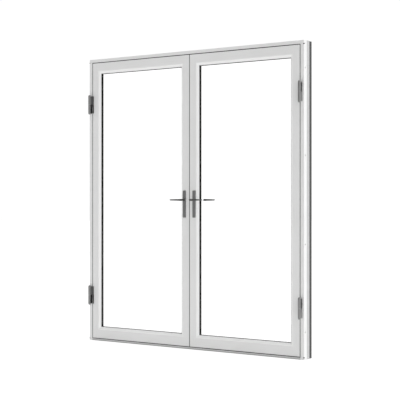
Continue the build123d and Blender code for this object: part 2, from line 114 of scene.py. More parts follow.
def add_node(
    tree: bpy.types.NodeTree,
    kind: str,
    inputs: Mapping[int | str, Any] | None = None,
    **settings: Any,
) -> bpy.types.Node:
    """Add a node with its settings, values and links.

    Args:
        tree: The node tree that takes the node.
        kind: The node's Blender type name.
        inputs: Values or output sockets by input name or index.
        settings: Properties of the node itself.

    Returns:
        The new node.
    """
    node = tree.nodes.new(kind)
    for name, value in settings.items():
        setattr(node, name, value)
    for key, value in (inputs or {}).items():
        if isinstance(value, bpy.types.NodeSocket):
            tree.links.new(value, node.inputs[key])
        else:
            node.inputs[key].default_value = value
    return node


@dataclass(frozen=True)
class Fade:
    """A second colour that a finish turns to along one axis, between two places."""

    run: Run
    start_mm: float
    end_mm: float
    colour: str

    def over(
        self,
        tree: bpy.types.NodeTree,
        place: bpy.types.NodeSocket,
        colour: bpy.types.NodeSocket,
    ) -> bpy.types.NodeSocket:
        """Lay the fade over a colour.

        Args:
            tree: The material's node tree.
            place: The socket that gives the place on the surface.
            colour: The socket that gives the colour before the fade.

        Returns:
            The socket that gives the colour after it.
        """
        along = add_node(tree, "ShaderNodeSeparateXYZ", {0: place}).outputs[self.run.value]
        ends = {"Value": along, "From Min": mm(self.start_mm), "From Max": mm(self.end_mm)}
        mixed = {
            MixInput.SHARE: add_node(tree, "ShaderNodeMapRange", ends).outputs[0],
            MixInput.COLOUR_A: colour,
            MixInput.COLOUR_B: linear(self.colour),
        }
        return add_node(tree, "ShaderNodeMix", mixed, data_type="RGBA").outputs[MIXED_COLOUR]


@dataclass(frozen=True)
class Finish:
    """A finish with a base colour, a slightly different second tone, and a relief as its grain.

    The pattern is a noise stretched along run. Sizes are in millimetres on the real surface.
    """

    name: str
    colour: str
    tone: str
    roughness: float
    roughness_spread: float
    grain_mm: float
    grain_length_mm: float
    tone_mm: float
    relief: float
    run: Run = Run.UPRIGHT
    metallic: float = 0.0
    settings: tuple[tuple[str, float], ...] = ()
    fade: Fade | None = None
    grain_detail: float = 3.0
    grain_roughness: float = 0.6
    tone_detail: float = 2.0
    tone_range: tuple[float, float] = (0.1, 0.45)
    gloss_range: tuple[float, float] = (0.3, 0.7)
    relief_depth_mm: float = 0.3

    def cycles(self) -> tuple[float, ...]:
        """The grain's cycles per metre on X, Y and Z."""
        sizes = (self.grain_length_mm if run is self.run else self.grain_mm for run in Run)
        return tuple(MM_PER_METRE / size for size in sizes)

    def material(self) -> bpy.types.Material:
        """The Blender material, made on first use."""
        return bpy.data.materials.get(self.name) or self.make()

    def make(self) -> bpy.types.Material:
        """Build the node tree.

        Returns:
            The new material.
        """
        made = bpy.data.materials.new(self.name)
        made.use_nodes = True
        tree = made.node_tree
        shader = tree.nodes["Principled BSDF"]
        for socket, value in (("Metallic", self.metallic), *self.settings):
            shader.inputs[socket].default_value = value
        place = add_node(tree, "ShaderNodeTexCoord").outputs["Object"]
        laid = add_node(tree, "ShaderNodeMapping", {"Vector": place, "Scale": self.cycles()})
        grain = add_node(
            tree,
            "ShaderNodeTexNoise",
            {
                "Vector": laid.outputs[0],
                "Scale": 1.0,
                "Detail": self.grain_detail,
                "Roughness": self.grain_roughness,
            },
        ).outputs[0]
        gloss = add_node(
            tree,
            "ShaderNodeMapRange",
            {
                "Value": grain,
                "From Min": self.gloss_range[0],
                "From Max": self.gloss_range[1],
                "To Min": self.roughness - self.roughness_spread,
                "To Max": self.roughness + self.roughness_spread,
            },
        )
        bump = {"Height": grain, "Strength": self.relief, "Distance": mm(self.relief_depth_mm)}
        for socket, source in (
            ("Base Color", self.toned(tree, place, grain)),
            ("Roughness", gloss.outputs[0]),
            ("Normal", add_node(tree, "ShaderNodeBump", bump).outputs[0]),
        ):
            tree.links.new(source, shader.inputs[socket])
        return made

    def toned(
        self,
        tree: bpy.types.NodeTree,
        place: bpy.types.NodeSocket,
        grain: bpy.types.NodeSocket,
    ) -> bpy.types.NodeSocket:
        """Blend the two tones by grain and clouds, and lay the fade over them.

        Args:
            tree: The material's node tree.
            place: The socket that gives the place on the surface.
            grain: The socket that gives the grain.

        Returns:
            The socket that gives the colour.
        """
        clouds = add_node(
            tree,
            "ShaderNodeTexNoise",
            {"Vector": place, "Scale": MM_PER_METRE / self.tone_mm, "Detail": self.tone_detail},
        )
        factors = {0: grain, 1: clouds.outputs[0]}
        blend = add_node(tree, "ShaderNodeMath", factors, operation="MULTIPLY")
        low, high = self.tone_range
        ends = {"Value": blend.outputs[0], "From Min": low, "From Max": high}
        tones = {
            MixInput.SHARE: add_node(tree, "ShaderNodeMapRange", ends).outputs[0],
            MixInput.COLOUR_A: linear(self.colour),
            MixInput.COLOUR_B: linear(self.tone),
        }
        colour = add_node(tree, "ShaderNodeMix", tones, data_type="RGBA").outputs[MIXED_COLOUR]
        return self.fade.over(tree, place, colour) if self.fade else colour


# The grain of each finish is finer than a millimetre on the real surface. It is drawn coarser, at
# grain_mm, because it would not show otherwise.

# Satin alkyd paint on planed pine: near white, softly glossy, with faint brush marks along each
# member, drawn 4 mm wide.
PAINT_UPRIGHT = Finish(
    "satin_paint_brushed_upright",
    colour="#EFEFEF",
    tone="#E9E9E8",
    roughness=0.42,
    roughness_spread=0.06,
    grain_mm=4,
    grain_length_mm=260,
    tone_mm=320,
    relief=0.10,
)
PAINT_LEVEL = replace(PAINT_UPRIGHT, name="satin_paint_brushed_level", run=Run.LEVEL)
# The beads are sprayed before they are nailed in, so their paint is a little whiter and smoother.
# Their edge at the glass is painted black: the gasket lip there, and painted shade of the reveal.
PAINT_BEAD = Finish(
    "satin_paint_sprayed",
    colour="#FAFAFA",
    tone="#F5F5F4",
    roughness=0.38,
    roughness_spread=0.05,
    grain_mm=3,
    grain_length_mm=3,
    tone_mm=320,
    relief=0.05,
    # painted shade: black edge of the beads at the glass
    fade=Fade(Run.THROUGH, start_mm=-32.4, end_mm=-32.2, colour="#0A0A0A"),
)
# Foamed rigid PVC core: matt light grey with a fine cell structure.
FOAM_CORE = Finish(
    "foamed_pvc_core",
    colour="#C9C9C9",
    tone="#BDBDBD",
    roughness=0.7,
    roughness_spread=0.06,
    grain_mm=2.2,
    grain_length_mm=2.2,
    tone_mm=60,
    relief=0.25,
)
# Powder-coated aluminium: even dark grey with the faint pebble of baked powder.
POWDER_COAT = Finish(
    "powder_coated_aluminium",
    colour="#424242",
    tone="#3D3D3D",
    roughness=0.58,
    roughness_spread=0.05,
    grain_mm=2.5,
    grain_length_mm=2.5,
    tone_mm=180,
    relief=0.12,
)
# Anodised aluminium: pale satin metal with draw lines from the extrusion die along the threshold.
# Its foot is painted darker: painted shade where the threshold meets the floor.
ANODISED = Finish(
    "anodised_aluminium",
    colour="#CACACA",
    tone="#BEBEBE",
    roughness=0.42,
    roughness_spread=0.07,
    grain_mm=1.6,
    grain_length_mm=500,
    tone_mm=150,
    relief=0.10,
    run=Run.LEVEL,
    metallic=1.0,
    # painted shade at the foot, next to the floor
    fade=Fade(Run.UPRIGHT, start_mm=7.0, end_mm=5.0, colour="#A4A4A4"),
)
# Satin nickel plate: grey metal, brushed along the plates and levers.
SATIN_NICKEL = Finish(
    "satin_nickel_plate",
    colour="#858585",
    tone="#7D7D7D",
    roughness=0.34,
    roughness_spread=0.07,
    grain_mm=1.0,
    grain_length_mm=70,
    tone_mm=60,
    relief=0.10,
    metallic=1.0,
)
# The levers are a darker copy of the plates' nickel.
SATIN_NICKEL_LEVEL = replace(
    SATIN_NICKEL, name="satin_nickel_lever", colour="#646464", tone="#5C5C5C", run=Run.LEVEL
)
# The outside levers are much darker. Their necks are painted white: a painted highlight, the
# reflection of the white room round them.
SATIN_NICKEL_OUTSIDE = replace(
    SATIN_NICKEL_LEVEL,
    name="satin_nickel_polished_neck",
    colour="#303030",
    tone="#2B2B2B",
    # painted highlight: the neck turns white
    fade=Fade(Run.THROUGH, start_mm=50.5, end_mm=48.5, colour="#FFFFFF"),
)
# Zinc die-cast hinge metal: grey, a little rougher than the handles, tumbled, with no direction.
# The webs between barrel and wing are painted dark on the left leaf: painted shade. On the right
# leaf they are painted pale: painted light, where the webs face the light.
DIE_CAST_SHADED_WEB = Finish(
    "die_cast_zinc_dark_web",
    colour="#8E8E8E",
    tone="#858585",
    roughness=0.4,
    roughness_spread=0.07,
    grain_mm=1.6,
    grain_length_mm=1.6,
    tone_mm=40,
    relief=0.12,
    metallic=1.0,
    # painted shade: the web darkens towards the leaf
    fade=Fade(Run.THROUGH, start_mm=-65.0, end_mm=-58.0, colour="#525252"),
)
DIE_CAST_LIT_WEB = replace(
    DIE_CAST_SHADED_WEB,
    name="die_cast_zinc_bright_web",
    # painted light: the web turns pale towards the leaf
    fade=Fade(Run.THROUGH, start_mm=-63.0, end_mm=-57.0, colour="#BABABA"),
)
HINGE_FINISHES = {Side.LEFT: DIE_CAST_SHADED_WEB, Side.RIGHT: DIE_CAST_LIT_WEB}
# Zinc-plated steel: the hidden bolt gear, brighter, with soft clouds from the plating bath.
ZINC_PLATE = Finish(
    "zinc_plated_steel",
    colour="#B9BBBD",
    tone="#A9ABAE",
    roughness=0.38,
    roughness_spread=0.1,
    grain_mm=1.4,
    grain_length_mm=40,
    tone_mm=25,
    relief=0.10,
    metallic=1.0,
)
LOW_SHEEN = (("Specular IOR Level", 0.08),)
# EPDM rubber: matt black with a bloom of dust.
RUBBER = Finish(
    "epdm_rubber",
    colour="#0E0E0E",
    tone="#161616",
    roughness=0.72,
    roughness_spread=0.08,
    grain_mm=2.0,
    grain_length_mm=60,
    tone_mm=90,
    relief=0.18,
    settings=LOW_SHEEN,
)
# Warm-edge glass spacer: matt black polypropylene with a fine moulded grain.
SPACER = Finish(
    "polypropylene_spacer",
    colour="#0B0B0B",
    tone="#121212",
    roughness=0.6,
    roughness_spread=0.06,
    grain_mm=1.5,
    grain_length_mm=1.5,
    tone_mm=40,
    relief=0.2,
    settings=LOW_SHEEN,
)


@dataclass(frozen=True)
class PaneBorder:
    """A black border round the clear glass: a butyl seal, and painted shade of the reveal."""

    low: Vector
    high: Vector
    colour: str = "#050505"

    def over(
        self,
        tree: bpy.types.NodeTree,
        place: bpy.types.NodeSocket,
        colour: tuple[float, ...],
    ) -> bpy.types.NodeSocket:
        """Lay the border round a colour.

        Args:
            tree: The material's node tree.
            place: The socket that gives the place on the surface.
            colour: The clear glass's colour.

        Returns:
            The socket that gives the colour with its border.
        """
        axes = add_node(tree, "ShaderNodeSeparateXYZ", {0: place}).outputs
        middle, half = (self.low + self.high) / 2, (self.high - self.low) / 2
        inside = []
        for axis in (Run.LEVEL.value, Run.UPRIGHT.value):
            span = {0: axes[axis], 1: middle[axis], 2: half[axis]}
            inside.append(add_node(tree, "ShaderNodeMath", span, operation="COMPARE").outputs[0])
        clear = add_node(tree, "ShaderNodeMath", dict(enumerate(inside)), operation="MULTIPLY")
        mixed = {
            MixInput.SHARE: clear.outputs[0],
            MixInput.COLOUR_A: linear(self.colour),
            MixInput.COLOUR_B: colour,
        }
        return add_node(tree, "ShaderNodeMix", mixed, data_type="RGBA").outputs[MIXED_COLOUR]


@dataclass(frozen=True)
class FloatGlass:
    """Clear float glass: colourless, with the very slight long wave that the rollers leave.

    Its IOR is below the usual 1.52, because the panes mirror the room very little.
    """

    name: str = "clear_float_glass"
    colour: str = "#FFFFFF"
    ior: float = 1.3
    wave_mm: float = 240
    relief: float = 0.006
    relief_depth_mm: float = 1.0
    border: PaneBorder | None = None

    def material(self) -> bpy.types.Material:
        """The Blender material, made on first use."""
        return bpy.data.materials.get(self.name) or self.make()

    def make(self) -> bpy.types.Material:
        """Build the node tree.

        Returns:
            The new material.
        """
        made = bpy.data.materials.new(self.name)
        made.use_nodes = True
        tree = made.node_tree
        shader = tree.nodes["Principled BSDF"]
        tint = linear(self.colour)
        for socket, value in (
            ("Base Color", tint),
            ("Roughness", 0.0),
            ("IOR", self.ior),
            ("Transmission Weight", 1.0),
        ):
            shader.inputs[socket].default_value = value
        place = add_node(tree, "ShaderNodeTexCoord").outputs["Object"]
        waves = {"Vector": place, "Scale": MM_PER_METRE / self.wave_mm, "Detail": 0.0}
        bump = {
            "Height": add_node(tree, "ShaderNodeTexNoise", waves).outputs[0],
            "Strength": self.relief,
            "Distance": mm(self.relief_depth_mm),
        }
        relief = add_node(tree, "ShaderNodeBump", bump)
        tree.links.new(relief.outputs[0], shader.inputs["Normal"])
        if self.border:
            # the black border: butyl seal and painted shade of the reveal
            tree.links.new(self.border.over(tree, place, tint), shader.inputs["Base Color"])
        path = add_node(tree, "ShaderNodeLightPath").outputs
        rays = {0: path["Is Shadow Ray"], 1: path["Is Diffuse Ray"]}
        light_ray = add_node(tree, "ShaderNodeMath", rays, operation="MAXIMUM")
        clear = add_node(tree, "ShaderNodeBsdfTransparent", {"Color": tint})
        looks = {0: light_ray.outputs[0], 1: shader.outputs[0], 2: clear.outputs[0]}
        passed = add_node(tree, "ShaderNodeMixShader", looks)
        tree.links.new(passed.outputs[0], tree.nodes["Material Output"].inputs["Surface"])
        return made


GLASS = FloatGlass()


def dress(finish: Finish | FloatGlass, *names: str) -> None:
    """Give CAD nodes a finish.

    Args:
        finish: The finish.
        names: CAD node names.
    """
    for name in names:
        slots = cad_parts[name].data.materials
        slots.clear()
        slots.append(finish.material())
        LOG.info("%s: %s", name, finish.name)


def facing(
    spot: tuple[float, float, float], outwards: tuple[float, float, float]
) -> Matrix:
    """A place whose Z axis points outwards from a surface.

    Args:
        spot: The point on the surface, in metres.
        outwards: The surface's outward direction.

    Returns:
        The placing matrix.
    """
    turn = Vector(outwards).to_track_quat("Z", "Y").to_matrix().to_4x4()
    return Matrix.Translation(Vector(spot)) @ turn


def looks_to(way: tuple[float, float, float]) -> Callable[[bmesh.types.BMFace], bool]:
    """A test for faces that look a given way.

    Args:
        way: The direction, of length 1.

    Returns:
        The test, which takes a face and tells whether it looks that way.
    """
    return lambda face: face.normal.dot(Vector(way)) > ALIGNED


class Bench:
    """Selection and edit steps that the modelled pieces share."""

    @staticmethod
    def clear() -> None:
        """Deselect everything in object mode."""
        bpy.ops.object.select_all(action="DESELECT")

    @staticmethod
    def take(obj: bpy.types.Object) -> None:
        """Select one object alone and make it active.

        Args:
            obj: The object.
        """
        Bench.clear()
        obj.select_set(True)
        bpy.context.view_layer.objects.active = obj

    @staticmethod
    def block(
        size: tuple[float, float, float], middle: tuple[float, float, float], turn: float = 0
    ) -> bpy.types.Object:
        """Add a block as the start of a piece.

        Args:
            size: Its size on X, Y and Z.
            middle: Its middle.
            turn: Its turn about Z.

        Returns:
            The block, at the origin with its place in its mesh.
        """
        Bench.clear()
        bpy.ops.mesh.primitive_cube_add(size=1, location=middle)
        made = bpy.context.object
        made.scale = size
        made.rotation_euler = (0, 0, turn)
        bpy.ops.object.transform_apply(location=True, rotation=True, scale=True)
        return made

    @staticmethod
    def pick(obj: bpy.types.Object, element: Element, wanted: Callable[[Any], bool]) -> None:
        """Select faces or edges of the mesh in edit mode.

        Args:
            obj: The object in edit mode.
            element: What is selected.
            wanted: Tells whether a face or an edge is selected.
        """
        bpy.ops.mesh.select_all(action="DESELECT")
        mesh = bmesh.from_edit_mesh(obj.data)
        for found in filter(wanted, getattr(mesh, element.value)):
            found.select_set(True)
        bmesh.update_edit_mesh(obj.data)

    @staticmethod
    def copies(
        model: bpy.types.Object,
        places: Iterable[Matrix],
        name: str,
        body: str,
        slot: str,
        finish: Finish,
    ) -> None:
        """Copy a model to its places, as one piece that rides on a body.

        Args:
            model: The piece modelled at the origin.
            places: Where each copy goes, in the door's frame.
            name: The new piece's name.
            body: The CAD body that carries it.
            slot: The record's material slot; not used.
            finish: Its finish.
        """
        made = []
        for place in places:
            copy = model.copy()
            copy.data = model.data.copy()
            bpy.context.scene.collection.objects.link(copy)
            copy.matrix_world = place
            made.append(copy)
        Bench.clear()
        for copy in made:
            copy.select_set(True)
        bpy.context.view_layer.objects.active = made[0]
        bpy.ops.object.transform_apply(location=True, rotation=True, scale=True)
        bpy.ops.object.join()
        piece = bpy.context.view_layer.objects.active
        piece.name = name
        piece.data.name = name
        piece.data.materials.clear()
        piece.data.materials.append(finish.material())
        Bench.clear()
        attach(piece, body)
        LOG.info("%s: %d copies on %s", name, len(made), body)

    @staticmethod
    def discard(model: bpy.types.Object) -> None:
        """Remove a model once its copies are in place, or a cutter once it has cut."""
        bpy.data.objects.remove(model, do_unlink=True)


@dataclass
class CountersunkScrew:
    """A countersunk screw head with a cross recess, sitting a little proud of its plate.

    Each step of the crown has its inset as a share of the head's radius, and its rise as a share
    of how proud the head is.
    """

    head_radius: float = mm(3.4)
    proud: float = mm(0.45)
    sunk: float = mm(1.6)
    slot_width: float = mm(0.95)
    slot_share: float = 0.62
    sides: int = 32
    shank_share: float = 0.55
    crown: tuple[tuple[float, float], ...] = ((0.16, 0.35), (0.2, 0.12))
    recess_share: float = 0.7
    recess_taper: float = 0.5
    smooth_angle: float = math.radians(40)

    def build(self) -> bpy.types.Object:
        """Model the head at the origin, with its axis along Z.

        Returns:
            The model, to be copied.
        """
        Bench.clear()
        depth = self.proud + self.sunk
        bpy.ops.mesh.primitive_cylinder_add(
            vertices=self.sides,
            radius=self.head_radius,
            depth=depth,
            location=(0, 0, self.proud - depth / 2),
        )
        head = bpy.context.object
        bpy.ops.object.transform_apply(location=True, rotation=True, scale=True)
        bpy.ops.object.mode_set(mode="EDIT")
        Bench.pick(head, Element.FACES, looks_to((0, 0, -1)))
        bpy.ops.transform.resize(value=(self.shank_share, self.shank_share, 1))
        Bench.pick(head, Element.FACES, looks_to((0, 0, 1)))
        for inset, rise in self.crown:
            bpy.ops.mesh.inset(thickness=self.head_radius * inset, depth=0)
            bpy.ops.transform.translate(value=(0, 0, self.proud * rise))
        bpy.ops.object.mode_set(mode="OBJECT")
        for turn in (0, QUARTER_TURN):
            self.cut(head, turn)
        Bench.take(head)
        bpy.ops.object.shade_smooth_by_angle(angle=self.smooth_angle)
        return head

    def cut(self, head: bpy.types.Object, turn: float) -> None:
        """Cut one arm of the recess, tapered towards its floor.

        Args:
            head: The screw head.
            turn: The arm's angle about the screw's axis.
        """
        arm_length = 2 * self.head_radius * self.slot_share
        arm_depth = 2 * self.sunk * self.recess_share
        cutter = Bench.block((arm_length, self.slot_width, arm_depth), (0, 0, self.proud), turn)
        bpy.ops.object.mode_set(mode="EDIT")
        Bench.pick(cutter, Element.FACES, looks_to((0, 0, -1)))
        bpy.ops.transform.resize(value=(self.recess_taper, self.recess_taper, 1))
        bpy.ops.object.mode_set(mode="OBJECT")
        Bench.take(head)
        recess = head.modifiers.new("recess", "BOOLEAN")
        recess.operation = "DIFFERENCE"
        recess.object = cutter
        bpy.ops.object.modifier_apply(modifier=recess.name)
        Bench.discard(cutter)


@dataclass
class DrainHood:
    """A small hooded cap over a drainage slot in the outer cladding, open below."""

    length: float = mm(42)
    height: float = mm(11)
    reach: float = mm(3.6)
    wall: float = mm(1.1)
    edge_radius: float = mm(1.0)
    edge_segments: int = 3
    slope_share: float = 0.35
    hollow_share: float = 0.5
    front_share: float = 0.9
    mouth_share: float = 0.4
    smooth_angle: float = math.radians(35)

    def build(self) -> bpy.types.Object:
        """Model the cap with its back on the plane Z = 0 and its open side towards -Y.

        Returns:
            The model, to be copied.
        """
        front, mouth = self.reach * self.front_share, -self.height * self.mouth_share
        cap = Bench.block((self.length, self.height, self.reach), (0, 0, self.reach / 2))
        bpy.ops.object.mode_set(mode="EDIT")
        Bench.pick(
            cap,
            Element.EDGES,
            lambda edge: all(v.co.z > front and v.co.y > 0 for v in edge.verts),
        )
        bpy.ops.transform.translate(value=(0, -self.height * self.slope_share, 0))
        Bench.pick(
            cap,
            Element.EDGES,
            lambda edge: any(v.co.z > front for v in edge.verts)
            and not all(v.co.y < mouth for v in edge.verts),
        )
        bpy.ops.mesh.bevel(offset=self.edge_radius, segments=self.edge_segments)
        Bench.pick(cap, Element.FACES, looks_to((0, -1, 0)))
        bpy.ops.mesh.inset(thickness=self.wall, depth=-self.height * self.hollow_share)
        bpy.ops.mesh.select_all(action="SELECT")
        bpy.ops.mesh.normals_make_consistent(inside=False)
        bpy.ops.object.mode_set(mode="OBJECT")
        bpy.ops.object.shade_smooth_by_angle(angle=self.smooth_angle)
        return cap


@dataclass
class CornerShadePlug:
    """A black rubber plug in a corner notch, flanged over the arris: painted shade in the notch.
    """

    width: float = mm(2.9)
    depth: float = mm(7.8)
    height: float = mm(6.8)
    set_in: float = mm(1.1)
    side_set_back: float = mm(0.05)
    proud: float = mm(0.4)
    flange: float = mm(2.6)
    edge_radius: float = mm(0.3)
    edge_segments: int = 2
    smooth_angle: float = math.radians(35)

    def build(self) -> bpy.types.Object:
        """Model the plug with the frame's outer front arris along Z, its side at +X, front at -Y.

        Returns:
            The model, to be copied.
        """
        middle = (-self.side_set_back - self.width / 2, self.set_in + self.depth / 2, 0)
        plug = Bench.block((self.width, self.depth, self.height), middle)
        bpy.ops.object.mode_set(mode="EDIT")
        Bench.pick(plug, Element.FACES, looks_to((0, -1, 0)))
        bpy.ops.mesh.extrude_region()
        bpy.ops.transform.translate(value=(0, -self.set_in - self.proud, 0))
        inwards = looks_to((-1, 0, 0))
        Bench.pick(
            plug,
            Element.FACES,
            lambda face: inwards(face) and face.calc_center_median().y < self.set_in,
        )
        bpy.ops.mesh.extrude_region()
        bpy.ops.transform.translate(value=(-self.flange, 0, 0))
        Bench.pick(plug, Element.EDGES, lambda edge: all(v.co.y < 0 for v in edge.verts))
        bpy.ops.mesh.bevel(offset=self.edge_radius, segments=self.edge_segments)
        bpy.ops.object.mode_set(mode="OBJECT")
        bpy.ops.object.shade_smooth_by_angle(angle=self.smooth_angle)
        return plug


@dataclass
class OuterFrame:
    """The fixed frame: timber, core, cladding, threshold, gaskets, keeps, hinges and shade plugs.
    """

    body: str = "frame"
    plug: CornerShadePlug = field(default_factory=CornerShadePlug)
    tread_level: float = mm(14)
    keep_thickness: float = mm(2)
    rod_half_thickness: float = mm(1.6)
    keep_screw_offset: float = mm(10.5)
    keep_screw: CountersunkScrew = field(
        default_factory=lambda: CountersunkScrew(
            head_radius=mm(2.2), proud=mm(0.25), sunk=mm(1.0), slot_width=mm(0.7)
        )
    )

    def dress(self) -> None:
        """Give the frame's nodes their finishes."""
        dress(PAINT_UPRIGHT, "frame_left_jamb", "frame_right_jamb")
        dress(PAINT_LEVEL, "frame_head")
        dress(FOAM_CORE, "head_core", "left_jamb_core", "right_jamb_core")
        dress(POWDER_COAT, "head_cladding", "left_jamb_cladding", "right_jamb_cladding")
        dress(ANODISED, "threshold")
        dress(RUBBER, "frame_gaskets")
        dress(ZINC_PLATE, "bolt_keeps", "hinge_pins")
        for side in Side:
            halves = (f"{side.word}_{place}_hinge_frame_half" for place in ("upper", "lower"))
            dress(HINGE_FINISHES[side], *halves)

    def build(self) -> None:
        """Add the black shade plugs at the corners and the screws of the keeps."""
        self.shade_corner_notches()
        self.screw_keeps()

    def shade_corner_notches(self) -> None:
        """Fill each notch with a black plug as painted shade, at the head's underside and the
        tread.
        """
        low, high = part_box("frame_right_jamb")
        places = [
            Matrix.Translation((side.value * high.x, low.y, level)) @ Matrix.Rotation(turn, 4, "Y")
            for side, turn in ((Side.RIGHT, 0), (Side.LEFT, HALF_TURN))
            for level in (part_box("frame_head")[0].z, self.tread_level)
        ]
        model = self.plug.build()
        # black plugs: painted shade in the corner notches
        Bench.copies(model, places, "shade_plugs", self.body, "black_rubber", RUBBER)
        Bench.discard(model)

    def screw_keeps(self) -> None:
        """Add the screws of the four keeps, on both sides of each bolt."""
        low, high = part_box("bolt_keeps")
        middle_y = (low.y + high.y) / 2
        places = []
        for side in Side:
            for place, level, outwards, rod_back in (
                ("upper", high.z, -1, min),
                ("lower", low.z, 1, max),
            ):
                rod_ends = (abs(corner.x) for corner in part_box(f"{side.word}_{place}_rod"))
                bolt_x = side.value * (rod_back(rod_ends) - outwards * self.rod_half_thickness)
                keep_face = level + outwards * self.keep_thickness
                for step in (-1, 1):
                    spot = (bolt_x + step * self.keep_screw_offset, middle_y, keep_face)
                    places.append(facing(spot, (0, 0, outwards)))
        model = self.keep_screw.build()
        Bench.copies(model, places, "keep_screws", self.body, "hardware_steel", ZINC_PLATE)
        Bench.discard(model)


@dataclass
class GlazedLeaf:
    """One leaf: stiles, rails, beads, double glazing, cladding, hinge halves and the lock case."""

    side: Side
    # inset of the outer pane's black border, butyl seal and painted shade
    seal_and_shade_inset: float = mm(17.6)
    top_seal_inset: float = mm(19.3)
    forend_screw_distance: float = mm(108)
    hood_distance: float = mm(190)
    hood_rise: float = mm(26)
    hinge_tip: float = mm(8.5)
    wing_thickness: float = mm(4)
    wing_screw_inset: float = mm(5)
    wing_screw_drops: tuple[float, ...] = (mm(18), mm(46))
    wing_screw: CountersunkScrew = field(
        default_factory=lambda: CountersunkScrew(
            head_radius=mm(3.0), proud=mm(0.3), sunk=mm(1.4), slot_width=mm(0.85)
        )
    )
    hood: DrainHood = field(default_factory=DrainHood)

    @property
    def body(self) -> str:
        """The CAD body that carries the leaf's pieces."""
        return f"{self.side.word}_leaf"

    def node(self, piece: str) -> str:
        """A piece's full name on this side."""
        return f"{self.side.word}_{piece}"

    def dress(self) -> None:
        """Give the leaf's nodes their finishes."""
        dress(PAINT_UPRIGHT, self.node("hinge_stile"), self.node("meeting_stile"))
        dress(PAINT_LEVEL, self.node("top_rail"), self.node("bottom_rail"))
        dress(PAINT_BEAD, self.node("glazing_beads"))
        dress(POWDER_COAT, self.node("leaf_cladding"))
        dress(GLASS, self.node("inner_pane"))
        dress(self.sealed_glass(), self.node("outer_pane"))
        dress(SPACER, self.node("glass_spacer"))
        dress(RUBBER, self.node("glazing_gaskets"))
        halves = (self.node(f"{place}_hinge_leaf_half") for place in ("upper", "lower"))
        dress(HINGE_FINISHES[self.side], *halves)
        dress(ZINC_PLATE, self.node("lock_case"))
        if self.side is Side.RIGHT:
            dress(RUBBER, "meeting_seal")

    def sealed_glass(self) -> FloatGlass:
        """Give the outer pane's glass its black border: butyl seal, and painted shade of the
        reveal.

        Returns:
            The bordered glass.
        """
        low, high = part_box(self.node("outer_pane"))
        border = PaneBorder(
            low + Vector((self.seal_and_shade_inset, 0, self.seal_and_shade_inset)),
            high - Vector((self.seal_and_shade_inset, 0, self.top_seal_inset)),
        )
        return replace(GLASS, name=f"{GLASS.name}_{self.side.word}_sealed", border=border)

    def build(self) -> None:
        """Add the screws of the hinges and forend, and the drainage hoods outside."""
        screw, cap = self.wing_screw.build(), self.hood.build()
        for model, places, piece, slot, finish in (
            (screw, self.wing_places(), "hinge_screws", "hinge_metal", HINGE_FINISHES[self.side]),
            (screw, self.forend_places(), "forend_screws", "hardware_steel", ZINC_PLATE),
            (cap, self.hood_places(), "drain_hoods", "dark_aluminium", POWDER_COAT),
        ):
            Bench.copies(model, places, self.node(piece), self.body, slot, finish)
        Bench.discard(screw)
        Bench.discard(cap)

    def wing_places(self) -> list[Matrix]:
        """Find where the hinge wings' screws go, below the middle of each hinge.

        Returns:
            A place for each screw.
        """
        places = []
        for place in ("upper", "lower"):
            low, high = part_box(self.node(f"{place}_hinge_leaf_half"))
            middle_z = (low.z + high.z - self.hinge_tip) / 2
            spot_x = self.side.value * (min(abs(low.x), abs(high.x)) + self.wing_screw_inset)
            front_y = high.y - self.wing_thickness
            for drop in self.wing_screw_drops:
                places.append(facing((spot_x, front_y, middle_z - drop), (0, -1, 0)))
        return places

    def forend_places(self) -> list[Matrix]:
        """Find where the forend's screws go, above and below the lock case.

        Returns:
            A place for each screw.
        """
        low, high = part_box(self.node("lock_case"))
        edge_x = low.x if self.side is Side.RIGHT else high.x
        middle = (low + high) / 2
        return [
            facing((edge_x, middle.y, middle.z + distance), (-self.side.value, 0, 0))
            for distance in (-self.forend_screw_distance, self.forend_screw_distance)
        ]

    def hood_places(self) -> list[Matrix]:
        """Find where the drainage hoods go, upright on the cladding's outer face.

        Returns:
            A place for each hood.
        """
        low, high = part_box(self.node("leaf_cladding"))
        upright = Matrix.Rotation(HALF_TURN, 4, "Z") @ Matrix.Rotation(QUARTER_TURN, 4, "X")
        return [
            Matrix.Translation((x, high.y, low.z + self.hood_rise)) @ upright
            for x in (low.x + self.hood_distance, high.x - self.hood_distance)
        ]


@dataclass
class HandleSet:
    """A leaf's two plates, two levers, spindle, pinion and bolt rods."""

    side: Side
    boss_height: float = mm(3)
    plate_screw_inset: float = mm(11)
    screw: CountersunkScrew = field(default_factory=CountersunkScrew)

    def node(self, piece: str) -> str:
        """A piece's full name on this side."""
        return f"{self.side.word}_{piece}"

    def dress(self) -> None:
        """Give the handle's nodes their finishes."""
        dress(SATIN_NICKEL, self.node("inside_plate"), self.node("outside_plate"))
        dress(SATIN_NICKEL_LEVEL, self.node("inside_lever"))
        dress(SATIN_NICKEL_OUTSIDE, self.node("outside_lever"))
        gear = ("spindle", "pinion", "upper_rod", "lower_rod")
        dress(ZINC_PLATE, *(self.node(piece) for piece in gear))

    def build(self) -> None:
        """Add the plates' screws, two to a plate."""
        screw = self.screw.build()
        for face, way in (("inside", -1), ("outside", 1)):
            low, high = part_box(self.node(f"{face}_plate"))
            middle_x = (low.x + high.x) / 2
            front_y = (low.y if way < 0 else high.y) - way * self.boss_height
            places = [
                facing((middle_x, front_y, z), (0, way, 0))
                for z in (low.z + self.plate_screw_inset, high.z - self.plate_screw_inset)
            ]
            name, body = self.node(f"{face}_plate_screws"), self.node("leaf")
            Bench.copies(screw, places, name, body, "handle_metal", SATIN_NICKEL)
        Bench.discard(screw)


